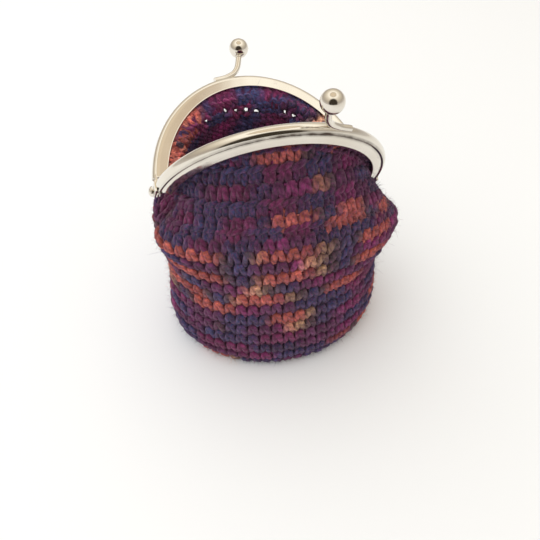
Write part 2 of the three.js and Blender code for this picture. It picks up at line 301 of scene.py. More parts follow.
def wool_material(name, sheen):
    """Matt wool: the dye with painted shade and light from the piece's attribute, plies along each strand
    and fine fibres.
    """
    material, shader, at = new_material(name)
    colour = at.node("ShaderNodeAttribute", {"attribute_name": "dye"}, out="Color")
    lay = at.node("ShaderNodeUVMap", {"uv_map": "lay"})
    along = at.node("ShaderNodeSeparateXYZ", values={"Vector": lay}, out="X")
    around = at.node("ShaderNodeSeparateXYZ", values={"Vector": lay}, out="Y")
    ply = at.sums("ABSOLUTE", ((along * PLIES_ALONG + around * PLIES_AROUND) * np.pi).sine())
    place = at.node("ShaderNodeTexCoord", out="Object")
    cloud = at.node("ShaderNodeTexNoise", values={"Vector": place, "Scale": CLOUD_SCALE, "Detail": 2.0})
    streak = at.node("ShaderNodeCombineXYZ", values={
        "X": along * FIBRES_ALONG, "Y": around * FIBRES_AROUND, "Z": cloud * FIBRES_SHIFT})
    fibre = at.node("ShaderNodeTexNoise", values={
        "Vector": streak, "Scale": 1.0, "Detail": 3.0, "Roughness": 0.65})
    # The tone: painted shade in the grooves between the plies, times the fibres' streaks and the clouds.
    tone_and_painted_light = (PLY_SHADE_LOW + ply * PLY_SHADE_GAIN) * (fibre * FIBRE_GAIN - FIBRE_LOW) * (CLOUD_LOW + cloud * CLOUD_GAIN)
    tint_and_painted_shade = at.node("ShaderNodeCombineXYZ", values={"X": tone_and_painted_light, "Y": tone_and_painted_light, "Z": tone_and_painted_light})
    speck = at.node("ShaderNodeTexNoise", values={"Vector": place, "Scale": SPECK_SCALE, "Detail": 1.0})
    carded = at.node("ShaderNodeMix", {"data_type": "RGBA"}, {
        "Factor_Float": speck * SPECK_GAIN - SPECK_LOW, "A_Color": colour, "B_Color": CARDED},
        out="Result_Color")
    wool = at.node("ShaderNodeMix", {"data_type": "RGBA", "blend_type": "MULTIPLY"}, {
        "Factor_Float": 1.0, "A_Color": carded, "B_Color": tint_and_painted_shade}, out="Result_Color")
    wool.into(shader.inputs["Base Color"])
    rise = ply * PLY_RISE + fibre * FIBRE_RISE
    bump = at.node("ShaderNodeBump", values={"Height": rise, "Strength": 0.9, "Distance": WOOL_BUMP * MM})
    bump.into(shader.inputs["Normal"])
    shader.inputs["Roughness"].default_value = 0.95
    shader.inputs["Specular IOR Level"].default_value = 0.15
    shader.inputs["Sheen Weight"].default_value = sheen
    shader.inputs["Sheen Roughness"].default_value = 0.5
    shader.inputs["Sheen Tint"].default_value = (0.85, 0.62, 0.75, 1)
    return material


def yarn_mesh(name, points, faces, dyes, lays, material):
    """A piece of yarn from its points and faces, with its dyes and the lay of its strands."""
    mesh = bpy.data.meshes.new(name)
    mesh.from_pydata((points * MM).tolist(), [], faces)
    # The colour on the points: the yarn's dye times painted shade and light.
    dye = mesh.attributes.new("dye", "FLOAT_COLOR", "POINT")
    dye.data.foreach_set("color", np.hstack((dyes, np.ones((len(dyes), 1)))).astype(np.float32).ravel())
    lay = mesh.uv_layers.new(name="lay")
    lay.data.foreach_set("uv", lays.astype(np.float32).ravel())
    mesh.polygons.foreach_set("use_smooth", np.ones(len(mesh.polygons), bool))
    mesh.materials.append(material)
    piece = bpy.data.objects.new(name, mesh)
    bpy.context.collection.objects.link(piece)
    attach(piece, "root")
    return piece


# Eyelets where the rear flap's stitches part and light comes through: angle and distance up, and
# the direction in which they go through the cloth.
EYELETS = (
    (124.7, 78.0), (108.0, 78.3), (100.3, 77.2), (93.3, 76.4), (86.2, 74.9), (66, 75.2), (60, 74.2),
)
EYELET_RADIUS = 0.6
EYELET_WAY = unit(np.array((0.24, 0.84, -0.485)))
eyelet_points, out = cloth(np.radians([a for a, _ in EYELETS]), np.array([u for _, u in EYELETS]))
eyelet_points = eyelet_points - out * WALL / 2


# The base: rings of single crochet from the middle outwards. Every stitch is a bight of yarn that
# shows as a peak of two legs and dips into the cloth at its feet.
PITCH, STITCH, YARN = 5.1, 4.6, 1.15
START = np.pi
RINGS, FIRST_RING, FEWEST_STITCHES, RING_YARN = 7, 0.65, 6, 60.0
# A strand's path: columns are along the row and up the cloth, in stitches, and out from it.
PEAK = np.array((
    (-0.29, -0.76, -2.2), (-0.28, -0.48, -1.3), (-0.24, -0.16, -0.75), (-0.17, 0.15, -0.55),
    (-0.09, 0.36, -0.5), (0.04, 0.37, -0.5), (0.13, 0.15, -0.5), (0.22, -0.18, -0.7),
    (0.29, -0.50, -1.2), (0.33, -0.80, -2.2),
))
# Strands lie deeper on the base and where the frame holds the cloth, and end inside its channel.
SINK, HELD_SINK, BASE_EDGE, HELD_EDGE, TUCK = 0.55, 0.5, (-1, 4), (-3, 1.5), 4.2
# How far from an eyelet strands are pushed aside, in widths of its room and in depth.
PARTED_NEAR, PARTED_FAR, PARTED_DEPTH, DEPTH_FADE = 1.2, 2.4, 4.5, (3.5, 6)
# How uneven the stitches are: stretched and shifted along the row, stretched and shifted up the cloth,
# out from it, and in the strength of the dye. The last value is the yarn's own thickness.
UNEVEN = np.array((0.05, 0.03, 0.03, 0.02, 0.1, 0.14))[:, None]
UNEVEN_YARN = 0.05
DARKEST, LAY_LENGTH, OVERRUN, ROW_POINTS = 0.004, 10, 0.25, 600
wool = wool_material("variegated_wool", sheen=0.29)
rng = np.random.default_rng(7)


class Strands:
    """Strands of yarn gathered for one mesh: rings of points round each path, closed at its ends."""

    def __init__(self):
        self.points, self.faces, self.dyes, self.lays, self.count = [], [], [], [], 0
        self.paths = []

    def add(self, paths, outs, radius, dyes, sides):
        """Adds strands along paths, with the outward side, thickness and dye at every point."""
        n, m, _ = paths.shape
        ahead = unit(np.gradient(paths, axis=1))
        across = unit(np.cross(ahead, outs))
        lift = np.cross(across, ahead)
        spin = 2 * np.pi * np.arange(sides) / sides
        rings = paths[:, :, None] + radius[..., None, None] * (
            np.cos(spin)[:, None] * lift[:, :, None] + np.sin(spin)[:, None] * across[:, :, None])
        rings[..., 2] = np.maximum(rings[..., 2], 0)
        at = np.arange(n * m * sides).reshape(n, m, sides) + self.count
        after = np.roll(at, -1, axis=2)
        quads = np.stack((at[:, :-1], after[:, :-1], after[:, 1:], at[:, 1:]), -1)
        run = np.linalg.norm(np.diff(paths, axis=1), axis=-1).cumsum(1) / LAY_LENGTH
        run = np.hstack((np.zeros((n, 1)), run))
        x = np.broadcast_to(run[:, :, None], (n, m, sides))
        y = np.broadcast_to(np.arange(sides) / sides, (n, m - 1, sides))
        lays = np.stack((np.stack((x[:, :-1], x[:, :-1], x[:, 1:], x[:, 1:]), -1),
                         np.stack((y, y + 1 / sides, y + 1 / sides, y), -1)), -1)
        self.points.append(rings.reshape(-1, 3))
        self.faces += quads.reshape(-1, 4).tolist()
        self.faces += at[:, 0, ::-1].tolist() + at[:, -1].tolist()
        self.lays += [lays.reshape(-1, 2), np.zeros((2 * n * sides, 2))]
        self.dyes.append(np.repeat(dyes.reshape(-1, 3), sides, axis=0))
        self.paths.append((paths, outs, dyes))
        self.count += n * m * sides

    def make(self, name, material):
        """Makes the mesh of all the strands gathered so far."""
        return yarn_mesh(name, np.concatenate(self.points), self.faces, np.concatenate(self.dyes),
                         np.concatenate(self.lays), material)


def parted(p):
    """Strands near an eyelet are pushed aside, to leave it open."""
    room = EYELET_RADIUS + YARN
    for point in (*eyelet_points, *eyelet_points):
        away = p - point
        depth = away @ EYELET_WAY
        away = away - EYELET_WAY * depth[..., None]
        reach = np.linalg.norm(away, axis=-1)
        near = np.where(np.abs(depth) < PARTED_DEPTH, reach, np.inf)
        lead = unit(away[np.arange(len(p)), near.argmin(1)])[:, None]
        shift = np.maximum(room - (away * lead).sum(-1), 0) * (near.min(1) < room)[:, None]
        fade = 1 - ease(reach, PARTED_NEAR * room, PARTED_FAR * room)
        fade = fade * (1 - ease(np.abs(depth), *DEPTH_FADE))
        p = p + lead * (shift * fade)[..., None]
    return p


class Row:
    """One row of stitches of even width from one angle round the bag to another."""

    def __init__(self, up, start, end, count, first, runs, pace=1.0):
        self.up, self.start, self.end, self.count = up, start, end, count
        self.first, self.runs, self.pace = first, runs, pace
        self.angles = np.linspace(start - OVERRUN, end + OVERRUN, ROW_POINTS)
        path = cloth_point(self.angles, self.height(self.angles))
        run = np.concatenate(((0,), np.linalg.norm(np.diff(path, axis=0), axis=-1).cumsum()))
        low, high = np.interp((start, end), self.angles, run)
        self.places = (run - low) / (high - low) * count

    def height(self, angle):
        return self.up(angle) if callable(self.up) else np.full(np.shape(angle), self.up)

    def lay(self, strands, path, radius=YARN, sides=6, inside=False, tone_and_painted_light=1.0):
        """Lays one strand of every stitch along this row."""
        n, m = self.count, len(path)
        wobble = rng.normal(0, 1, (n, len(UNEVEN), 1)) * UNEVEN
        along = path[:, 0] * (1 + wobble[:, 0]) + wobble[:, 1]
        upward = path[:, 1] * (1 + wobble[:, 2]) + wobble[:, 3]
        centre = np.arange(n)[:, None] + 0.5
        angle = np.interp(centre + along, self.places, self.angles)
        height = self.height(np.interp(centre, self.places, self.angles)) + upward * PITCH
        height = np.minimum(height, frame_edge(angle) + TUCK)
        held = ease(height - frame_edge(angle), *HELD_EDGE)
        out = path[:, 2] + wobble[:, 4] - SINK * (1 - ease(height, *BASE_EDGE) + HELD_SINK * held)
        p, normal = cloth(angle, height)
        if inside:
            p, normal = p - normal * (WALL + (EDGE_WALL - WALL) * held + out)[..., None], -normal
        else:
            p = p + normal * out[..., None]
        drawn = self.first + (centre + np.linspace(-0.5, 0.5, m)) * self.pace
        # The dyes are scaled by a tone: painted shade on the flaps, painted light on the inner bits.
        dyes = dyed(drawn, self.runs) * tone_and_painted_light * (1 + wobble[:, 5:])
        thick = radius * (1 + UNEVEN_YARN * (rng.normal(0, 1, (n, 1)) + rng.normal(0, 1, (n, m))))
        strands.add(parted(p), normal, thick, np.clip(dyes, DARKEST, 1), sides)


base_rows = []
for ring in range(RINGS):
    inset = (ring + FIRST_RING) * PITCH
    count = max(FEWEST_STITCHES, int(round(2 * np.pi * (BASE_RADIUS - inset) / STITCH)))
    base_rows.append(Row(-inset, START, START + 2 * np.pi, count, RING_YARN * ring, ROUND_DYES))
base_yarn = Strands()
for row in base_rows:
    row.lay(base_yarn, PEAK)
base_yarn.make("bag_base", wool)


# The wall: twelve rounds of the same stitch, one stitch on top of the other, so that the peaks
# stand in columns with a groove between them. The rounds sag towards the sides of the bag.
ROUND_STITCHES, FIRST_ROUND = 54, 0.35
# The place in the repeat of dyes at which each round starts, in stitches.
ROUND_FIRST = (40, 88, 79, 22, 54.6, 33, 13.8, 2.2, 58.2, 0.3, 54, 0)
# Sag: angle from the left side on, and drop in rows. It grows with the height of a row, up to a height.
SAG = np.array((
    (180, 0.6), (222, 0.45), (250, 0.1), (272, 0), (295, 0.25), (315, 0.87), (338, 1.5), (360, 1.4),
    (400, 0.6), (430, 0), (510, 0), (540, 0.6),
))
SAG_UP_TO, SAG_GROWTH = 58, 1.5


def sagging(up):
    """The height of a row at an angle, for its height in the middle of the front."""
    def height(angle):
        drop = np.interp(np.mod(np.degrees(angle) - 180, 360) + 180, SAG[:, 0], SAG[:, 1])
        return up - drop * PITCH * min(up / SAG_UP_TO, 1) ** SAG_GROWTH
    return height


wall_rows = []
for number, first in enumerate(ROUND_FIRST):
    height = sagging((number + FIRST_ROUND) * PITCH)
    wall_rows.append(Row(height, START, START + 2 * np.pi, ROUND_STITCHES, first, ROUND_DYES))
wall_yarn = Strands()
for row in wall_rows:
    row.lay(wall_yarn, PEAK)
wall_yarn.make("bag_wall", wool)


# The flaps: front and rear rows worked flat, to and fro, so every other row shows the back of the
# stitch: a slanting bar over two short legs.
BAR = np.array((
    (-0.50, 0.02, -1.9), (-0.40, 0.08, -0.95), (-0.16, 0.20, -0.5), (0.12, 0.31, -0.45),
    (0.36, 0.37, -0.85), (0.50, 0.36, -1.8),
))
LEFT_LEG = np.array((
    (-0.22, 0.16, -1.5), (-0.23, -0.10, -0.8), (-0.26, -0.36, -0.85), (-0.30, -0.66, -1.9),
))
RIGHT_LEG = np.array((
    (0.16, 0.22, -1.5), (0.17, -0.08, -0.75), (0.19, -0.36, -0.8), (0.22, -0.66, -1.9),
))
BACK = (BAR, LEFT_LEG, RIGHT_LEG)
# Rows: height in the middle of the front, and the place in the repeat of dyes at which the front one
# starts. The rear ones all end at one place of it.
FLAP_ROWS = ((62.3, 12.9), (66.3, 31.6), (70.3, 35.9), (75.3, 8.9), (80.7, 19.5), (86.4, 11.4), (92.2, 3.8))
REAR_FROM, REAR_LAST = 1.9 * np.pi, 50.8
PLAIN_FRONT, PLAIN_REAR, EYELET_ROWS = (0, 3, 5), (0, 1, 2), (2, 4)
# The flaps' dyes are darkened to 0.74 of the wall's: painted shade over the flaps.
FLAP_PAINTED_SHADE, OPEN_POINTS, FLAP_POINTS = 0.74, 1441, 300


def open_parts(height):
    """The stretches round the bag, from the left side on, where the frame leaves room for a row."""
    angle = np.linspace(START, START + 2 * np.pi, OPEN_POINTS)
    clear = frame_edge(angle) + TUCK > height(angle)
    if clear.all():
        return [(START, START + np.pi), (START + np.pi, START + 2 * np.pi)]
    ends = list(angle[np.flatnonzero(np.diff(clear.astype(int)))])
    if clear[0]:
        ends = ends[1:] + [ends[0] + 2 * np.pi]
    return list(zip(ends[::2], ends[1::2]))


def smooth_path(path):
    """A strand's path with a point more between every two, on a curve through them."""
    near = np.vstack((2 * path[:1] - path[1:2], path, 2 * path[-1:] - path[-2:-1]))
    between = (9 * (near[1:-2] + near[2:-1]) - near[:-3] - near[3:]) / 16
    finer = np.empty((2 * len(path) - 1, 3))
    finer[::2], finer[1::2] = path, between
    return finer


flap_rows = []
for number, (up, first) in enumerate(FLAP_ROWS):
    height = sagging(up)
    for start, end in open_parts(height):
        fine = np.linspace(start, end, FLAP_POINTS)
        fine = cloth_point(fine, height(fine))
        count = int(round(np.linalg.norm(np.diff(fine, axis=0), axis=-1).sum() / STITCH))
        if count > 1:
            front = start < REAR_FROM
            begin = first if front else REAR_LAST - count
            plain = number in (PLAIN_FRONT if front else PLAIN_REAR)
            runs = PLAIN_DYES if plain else FLAP_DYES
            flap_rows.append((number, Row(height, start, end, count, begin, runs)))
flap_yarn = Strands()
for number, row in flap_rows:
    by_eyelets = number in EYELET_ROWS and row.start > REAR_FROM
    for strand in BACK if number % 2 else (PEAK,):
        path = smooth_path(strand) if number % 2 or by_eyelets else strand
        row.lay(flap_yarn, path, tone_and_painted_light=FLAP_PAINTED_SHADE)
flap_yarn.make("bag_flaps", wool)


# The edging: one row of slip stitches in the same wool, worked into the last rows along the lips of
# the frame. The two legs of each stitch lie one above the other, each leg behind the one before it.
CHAIN = np.array((
    (-0.72, -0.04, -1.4), (-0.48, -0.20, -0.3), (-0.12, -0.25, 0.0), (0.24, -0.15, -0.05),
    (0.56, 0.0, -1.1),
))
EDGE_STITCHES, EDGE_YARN, EDGE_UP, EDGE_REAR_UP = 64, 0.85, 0.3, 0.8


def along_frame(angle):
    """The edging's height, a little further up the cloth at the rear than at the front."""
    return frame_edge(angle) + EDGE_UP + EDGE_REAR_UP * np.sin(angle)


edge_row = Row(along_frame, START, START + 2 * np.pi, EDGE_STITCHES, 0.0, EDGE_DYES)
edge_yarn = Strands()
for strand in (CHAIN, CHAIN * (1, -1, 1)):
    edge_row.lay(edge_yarn, strand, radius=EDGE_YARN)
edge_yarn.make("bag_edging", wool)


# The inner face: the back of the same rows, bars and short legs, in the shade. On the flaps it is
# rubbed rough, so that only small bits of each strand stand out.
INNER_SIDES, BITS, BIT_LEVELS = 5, 1.6, (0.0, 0.5)
# The bits' dyes are lightened 2.1 times: painted light falling in through the open mouth.
BIT_SIZE, BIT_YARN, BIT_PAINTED_LIGHT = (1, 0.62, 1), 0.95, 2.1


def raised(row, rows_up):
    """The height of a row of the cloth, moved up by a part of a row."""
    def height(angle):
        return row.height(angle) + rows_up * PITCH
    return height


inner_yarn, lining_yarn = Strands(), Strands()
for row in (*base_rows, *wall_rows):
    for strand in BACK:
        row.lay(inner_yarn, strand, sides=INNER_SIDES, inside=True)
inner_yarn.make("bag_inner_wall", wool)
for _, row in flap_rows:
    for rows_up in BIT_LEVELS:
        bits = Row(raised(row, rows_up), row.start, row.end, int(row.count * BITS), row.first, row.runs,
                   pace=1 / BITS)
        for strand in (BAR, RIGHT_LEG):
            bits.lay(lining_yarn, strand * BIT_SIZE, radius=BIT_YARN, sides=INNER_SIDES, inside=True,
                     tone_and_painted_light=BIT_PAINTED_LIGHT)
lining_yarn.make("bag_inner_flaps", wool)


# The felted ground: the tangled middle of the cloth behind the stitches, one thin layer with the
# eyelets left open. It has the dyes of the yarn next to it, darkened outside as painted shade between
# the stitches and lightened inside as painted light.
GROUND_OUT, GROUND_IN, GROUND_TURNS = 1.2, 2.3, 192
BASE_LEVELS, WALL_LEVELS = (0.0, 0.2, 0.4, 0.6, 0.8, 0.94), np.linspace(0.012, 1.03, 96)
EYELET_EDGE, EYELET_NEAR = 0.4, 4
OUTER_PAINTED_SHADE, INNER_PAINTED_LIGHT = 0.55, 1.5


def active(piece):
    """Selects one piece alone."""
    bpy.ops.object.select_all(action="DESELECT")
    piece.select_set(True)
    bpy.context.view_layer.objects.active = piece


def merged(piece):
    """Joins the points of a piece that lie on one another, so that its seams and poles are closed."""
    active(piece)
    bpy.ops.object.mode_set(mode="EDIT")
    bpy.ops.mesh.select_all(action="SELECT")
    bpy.ops.mesh.remove_doubles(threshold=1e-6)
    bpy.ops.object.mode_set(mode="OBJECT")
    bpy.ops.object.select_all(action="DESELECT")


turn = np.arange(GROUND_TURNS) * 2 * np.pi / GROUND_TURNS
levels = [wall(turn, np.zeros(GROUND_TURNS)) * share for share in BASE_LEVELS]
levels += [wall(turn, np.full(GROUND_TURNS, share)) for share in WALL_LEVELS]
ground = np.array(levels)
around = np.roll(ground, -1, axis=1) - np.roll(ground, 1, axis=1)
out = unit(np.cross(around, np.gradient(ground, axis=0)))
out[0] = (0, 0, -1)
at = np.arange(len(ground) * GROUND_TURNS).reshape(-1, GROUND_TURNS)
after = np.roll(at, -1, axis=1)
layer = ground - out * (GROUND_OUT + GROUND_IN) / 2
middle = (layer[:-1] + np.roll(layer, -1, axis=1)[1:]) / 2
reach = middle[:, :, None] - eyelet_points
reach = np.linalg.norm(reach - EYELET_WAY * (reach @ EYELET_WAY)[..., None], axis=-1)
near = np.linalg.norm(middle[:, :, None] - eyelet_points, axis=-1) < EYELET_NEAR
kept = ~((reach < EYELET_RADIUS + EYELET_EDGE) & near).any(-1)
quads = np.stack((at[:-1], after[:-1], after[1:], at[1:]), -1)
# The rims between the layer's two skins: along the frame, and on each side of a face left open.
rim = [np.stack((at[-1], after[-1], after[-1] + at.size, at[-1] + at.size), -1)]
for shift, edge in (((1, 0), (0, 1)), ((-1, 0), (2, 3)), ((0, 1), (3, 0)), ((0, -1), (1, 2))):
    open_side = ~kept & np.roll(kept, shift, axis=(0, 1))
    start, end = quads[open_side][:, edge[0]], quads[open_side][:, edge[1]]
    rim.append(np.stack((start, end, end + at.size, start + at.size), -1))
skins = np.concatenate([(ground - out * depth).reshape(-1, 3) for depth in (GROUND_OUT, GROUND_IN)])
faces = np.concatenate((quads[kept], quads[kept][:, ::-1] + at.size, *rim)).tolist()
yarns = [laid for yarn in (base_yarn, wall_yarn, flap_yarn, edge_yarn, inner_yarn, lining_yarn)
         for laid in yarn.paths]
yarn_points, yarn_dyes = (np.concatenate([laid[k].reshape(-1, 3) for laid in yarns]) for k in (0, 2))
nearest = kdtree.KDTree(len(yarn_points))
for number, point in enumerate(yarn_points):
    nearest.insert(point, number)
nearest.balance()
ground_painted_light = np.repeat((OUTER_PAINTED_SHADE, INNER_PAINTED_LIGHT), at.size)[:, None]
ground_dyes = yarn_dyes[[nearest.find(point)[1] for point in skins]] * ground_painted_light
ground_piece = yarn_mesh("bag_ground", skins, faces, ground_dyes, np.zeros((4 * len(faces), 2)),
                         wool_material("felted_ground", sheen=0.1))
merged(ground_piece)
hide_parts("crochet_bag")


# Loose fibres: fine ends of wool that the spinning left free. They stand out of the yarn all over,
# lean and curl each in its own way, and blur the edges of the stitches.
# The fibres take their yarn's dye lightened two times: painted light where they catch the bright room at
# the edges.
FIBRES, FIBRE_RADIUS, FIBRE_TAPER, FIBRE_PAINTED_LIGHT = 13800, 0.036, (1, 0.8, 0.5), 2.0
FIBRE_ROOT, FIBRE_LEAN, FIBRE_OUT, FIBRE_CURL = 0.85, 0.9, 0.3, 0.8
LENGTH_SHAPE, LENGTH_SCALE = 4.0, 0.25
fibre_wool = wool_material("loose_fibres", sheen=0.4)


def loose_fibres(name, yarns):
    """Fibres that stand out of some yarns, each yarn with a share of their number."""
    fuzz = Strands()
    for strands, share in yarns:
        roots = [np.concatenate([block[k].reshape(-1, 3) for block in strands.paths]) for k in range(3)]
        pick = rng.integers(0, len(roots[0]), int(FIBRES * share))
        root, out, colour = (values[pick] for values in roots)
        lean = unit(out + FIBRE_LEAN * rng.normal(0, 1, root.shape))
        bend = unit(out * FIBRE_OUT + rng.normal(0, 1, root.shape))
        length = rng.gamma(LENGTH_SHAPE, LENGTH_SCALE, (len(root), 1))
        t = np.linspace(0, 1, len(FIBRE_TAPER))[None, :, None]
        paths = (root + lean * YARN * FIBRE_ROOT)[:, None] + (lean * length)[:, None] * t
        paths = paths + (bend * length * FIBRE_CURL)[:, None] * t ** 2
        thin = FIBRE_RADIUS * np.broadcast_to(FIBRE_TAPER, (len(root), len(FIBRE_TAPER)))
        fuzz.add(paths, np.broadcast_to(np.cross(lean, bend)[:, None], paths.shape), thin,
                 np.broadcast_to((colour * FIBRE_PAINTED_LIGHT)[:, None], paths.shape), sides=3)
    fuzz.make(name, fibre_wool)


loose_fibres("wall_fibres", ((base_yarn, 0.12), (wall_yarn, 0.88)))
loose_fibres("flap_fibres", ((flap_yarn, 0.68), (edge_yarn, 0.08), (lining_yarn, 0.24)))


# The frame halves: strip bent to a half-round channel, then to an arch, closed at its ends, with
# flat ears for the hinge and a ball knob on a bent rod, all soldered and plated with nickel.
CHANNEL, DEPTH, SHEET = 4.6, 5.4, 0.6
CHANNEL_START, EAR_OVERLAP, EAR_THICK, EAR_RADIUS, CLEAR = 4.4, 1.2, 0.8, 2.1, 0.3
# The outer lip flares, and a groove is rolled along the shoulder above it.
FLARE, GROOVE, GROOVE_PLACE, GROOVE_HALF = 1.0, 0.55, 0.3, 0.7
# Painted shade and dark reflection beside the groove, strongest at the top of the arch.
SHADE_BAND_PLACE, SHADE_BAND_HALF, SHADE_BAND_GAIN, SHADE_BAND_SIDES = 0.7, 1.1, 1.8, 0.1
CHANNEL_BEVEL, PLATE_BEVEL, BEVEL_ANGLE, SMOOTH_ANGLE = 0.14, 0.12, np.radians(50), np.radians(40)
END_THICK, END_MIDDLE = 1.0, 2.5
BALL, ROD, COLLAR_FACES, COLLAR_STEP, COLLAR_LENGTH = 3.7, 1.12, 0.93, 0.08, 0.45
# The knob's rod, from its foot to the ball: along the arch, above the spine and across the plane.
KNOB_ROD = ((13.6, 0.45, 0), (8.2, 0.6, 0), (4.8, 2.4, 0.2), (3.1, 6.4, 0.8), (2.2, 11.6, 1.5))
PLATE_TONES = ((0.3, (0.83, 0.79, 0.72)), (0.7, (0.76, 0.71, 0.625)))
# Colour and strength of the painted shade band beside the groove.
GROOVE_SHADE_COLOUR, GROOVE_SHADE_LOW, GROOVE_SHADE_GAIN = (0.07, 0.05, 0.04, 1), 0.1, 2.2
WEAR_SCALE, HAZE_SCALE, ROUGH_LOW, ROUGH_GAIN, PLATE_BUMP = 260.0, 60.0, 0.06, 0.1, 0.5


def nickel_material(name):
    """Polished plate: warm grey with faint haze, fine wear in its gloss and a slight ripple."""
    material, shader, at = new_material(name)
    place = at.node("ShaderNodeTexCoord", out="Object")
    wear = at.node("ShaderNodeTexNoise", values={"Vector": place, "Scale": WEAR_SCALE, "Detail": 4.0})
    haze = at.node("ShaderNodeTexNoise", values={"Vector": place, "Scale": HAZE_SCALE, "Detail": 2.0})
    warm = at.node("ShaderNodeValToRGB", {"stops": PLATE_TONES}, {"Fac": haze})
    # A dark band beside the groove, broken up by the wear noise: painted shade and dark reflection in the
    # groove.
    groove = at.node("ShaderNodeAttribute", {"attribute_name": "tarnish"}, out="Fac")
    plate = at.node("ShaderNodeMix", {"data_type": "RGBA"}, {
        "Factor_Float": groove * (wear * GROOVE_SHADE_GAIN - GROOVE_SHADE_LOW), "A_Color": warm, "B_Color": GROOVE_SHADE_COLOUR},
        out="Result_Color")
    plate.into(shader.inputs["Base Color"])
    (ROUGH_LOW + wear * ROUGH_GAIN).into(shader.inputs["Roughness"])
    shader.inputs["Metallic"].default_value = 1.0
    bump = at.node("ShaderNodeBump", values={"Height": haze, "Strength": 0.12, "Distance": PLATE_BUMP * MM})
    bump.into(shader.inputs["Normal"])
    return material


nickel = nickel_material("polished_nickel")


def arch(angle, inset):
    """Point of a frame half in its own plane, at a depth below the spine."""
    point = np.array((-HALF_WIDTH * np.cos(angle), 0, RISE * np.sin(angle)))
    inward = np.array((RISE * np.cos(angle), 0, -HALF_WIDTH * np.sin(angle)))
    return point + inward / np.linalg.norm(inward) * inset


def finished(piece, kind, **settings):
    """Adds a modifier to a piece and applies it."""
    active(piece)
    modifier = piece.modifiers.new(kind.lower(), kind)
    for name, value in settings.items():
        setattr(modifier, name, value)
    bpy.ops.object.modifier_apply(modifier=modifier.name)


def bent_channel():
    """The half's channel: a strip rolled to its section and bent along the arch, of even thickness."""
    bpy.ops.mesh.primitive_grid_add(x_subdivisions=112, y_subdivisions=36, size=2)
    piece = bpy.context.active_object
    radius = (CHANNEL - SHEET) / 2
    straight = DEPTH - CHANNEL / 2
    total = 2 * straight + np.pi * radius
    first = np.arcsin(CHANNEL_START / RISE)
    tarnish = piece.data.attributes.new("tarnish", "FLOAT", "POINT")
    for vertex in piece.data.vertices:
        angle = first + (np.pi - 2 * first) * (vertex.co.x + 1) / 2
        run = (vertex.co.y + 1) / 2 * total
        groove = GROOVE * max(0, 1 - abs(run - straight - GROOVE_PLACE) / GROOVE_HALF)
        # The dark band's strength across the section and along the arch: painted shade and reflection.
        shade_band = min(1, SHADE_BAND_GAIN * max(0, 1 - abs(run - straight - SHADE_BAND_PLACE) / SHADE_BAND_HALF))
        shade_band = shade_band * (SHADE_BAND_SIDES + (1 - SHADE_BAND_SIDES) * np.sin(angle) ** 3)
        tarnish.data[vertex.index].value = shade_band
        if run < straight:
            flare = FLARE * (1 - run / straight)
            y, inset = groove - radius - flare, DEPTH - run
        elif run > total - straight:
            y, inset = radius, CHANNEL / 2 + run - (total - straight)
        else:
            bend = (run - straight) / radius
            y, inset = groove - radius * np.cos(bend), CHANNEL / 2 - radius * np.sin(bend)
        x, _, z = arch(angle, inset)
        vertex.co = Vector((x, y, z)) * MM
    finished(piece, "SOLIDIFY", thickness=SHEET * MM, offset=0.0, use_even_offset=True)
    finished(piece, "BEVEL", width=CHANNEL_BEVEL * MM, segments=2, limit_method="ANGLE",
             angle_limit=BEVEL_ANGLE)
    return piece


def cut_plate(outline, thick):
    """A flat plate cut to an outline of points, thickened along a direction."""
    bpy.ops.mesh.primitive_circle_add(vertices=len(outline), fill_type="NGON")
    piece = bpy.context.active_object
    for vertex, point in zip(piece.data.vertices, outline):
        vertex.co = Vector(point) * MM
    active(piece)
    bpy.ops.object.mode_set(mode="EDIT")
    bpy.ops.mesh.select_all(action="SELECT")
    bpy.ops.mesh.extrude_region_move(TRANSFORM_OT_translate={"value": Vector(thick) * MM})
    bpy.ops.mesh.select_all(action="SELECT")
    bpy.ops.mesh.normals_make_consistent(inside=False)
    bpy.ops.object.mode_set(mode="OBJECT")
    finished(piece, "BEVEL", width=PLATE_BEVEL * MM, segments=2, limit_method="ANGLE",
             angle_limit=BEVEL_ANGLE)
    return piece


def hinge_ear(side, layer):
    """A flat ear with a round foot. The rear half's ears lie one layer further in."""
    bend = np.linspace(np.pi, 2 * np.pi, 17)
    x = side * (HALF_WIDTH - layer * (EAR_THICK + CLEAR))
    top = CHANNEL_START + EAR_OVERLAP
    outline = [(x, EAR_RADIUS * np.cos(b), EAR_RADIUS * np.sin(b)) for b in bend]
    outline += [(x, EAR_RADIUS, top), (x, -EAR_RADIUS, top)]
    return cut_plate(outline, (-side * EAR_THICK, 0, 0))


def channel_end(side):
    """The small plate that closes one end of the channel."""
    half = CHANNEL / 2 - SHEET / 2
    angle = np.arcsin((CHANNEL_START + SHEET / 2) / RISE)
    inner = np.arcsin((CHANNEL_START + END_THICK) / RISE)
    section = [(half * np.cos(b), CHANNEL / 2 - half * np.sin(b)) for b in np.linspace(0, np.pi, 13)]
    section += [(-half, DEPTH - SHEET / 2), (half, DEPTH - SHEET / 2)]
    outline = [np.array((0, y, 0)) + arch(angle, inset) * (-side, 1, 1) for y, inset in section]
    return cut_plate(outline, (arch(inner, END_MIDDLE) - arch(angle, END_MIDDLE)) * (-side, 1, 1))


